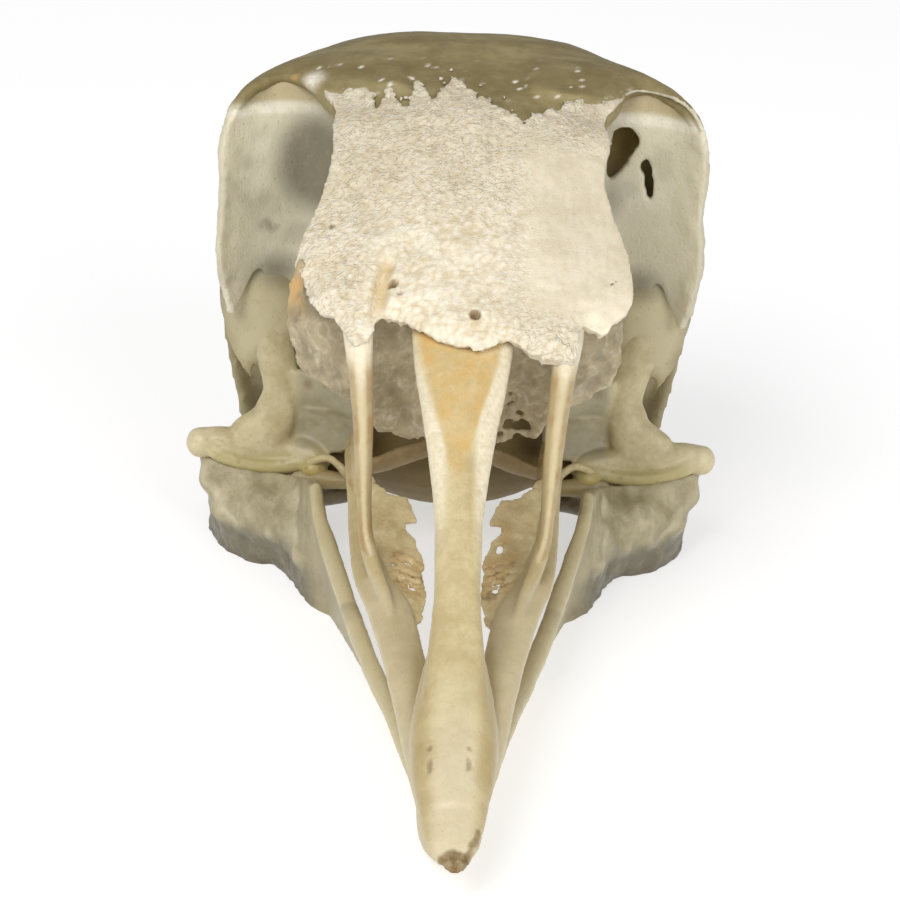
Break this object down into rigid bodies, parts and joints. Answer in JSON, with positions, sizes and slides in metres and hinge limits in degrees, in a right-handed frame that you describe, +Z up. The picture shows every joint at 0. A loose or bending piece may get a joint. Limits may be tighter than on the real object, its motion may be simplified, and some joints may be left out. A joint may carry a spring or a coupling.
{
  "type": "bird skull",
  "caption": "Life-size skull of a crane-like bird, resting on its lower jaw: rough domed forehead, huge eye openings, long see-through nostrils and a short rounded bill.",
  "frame": {"origin": "on the floor, below the middle of the skull's box", "axes": "+Z up; the bill points to -Y; +X is the picture's right, the animal's left"},
  "size_m": [0.0526, 0.0992, 0.0507],
  "materials": {
    "crown": "smooth, slightly glossy olive-brown bone",
    "forehead": "rough, chalky cream bone covered in small papillae",
    "orbit": "thin, pale grey-green papery bone",
    "bill": "smooth ochre-cream bone, ivory at the tip",
    "palate": "thin brown-cream bone with ragged edges",
    "quadrate": "dense tan bone, satin",
    "jaw": "grey-olive bone with pale streaks"
  },
  "bodies": {
    "root": {"braincase": "crown", "frontal": "forehead", "postorbital_plate_left": "orbit", "postorbital_plate_right": "orbit", "lacrimal_left": "orbit", "lacrimal_right": "orbit", "interorbital_septum": "orbit", "bill_ridge": "bill", "bill_tip": "bill", "nasal_bar_left": "bill", "nasal_bar_right": "bill", "palate_left": "palate", "palate_right": "palate", "pterygoid_left": "palate", "pterygoid_right": "palate", "quadrate_left": "quadrate", "quadrate_right": "quadrate", "mandible_rear_left": "jaw", "mandible_rear_right": "jaw", "mandible_ramus_left": "jaw", "mandible_ramus_right": "jaw", "mandible_tip": "jaw"}
  },
  "joints": []
}
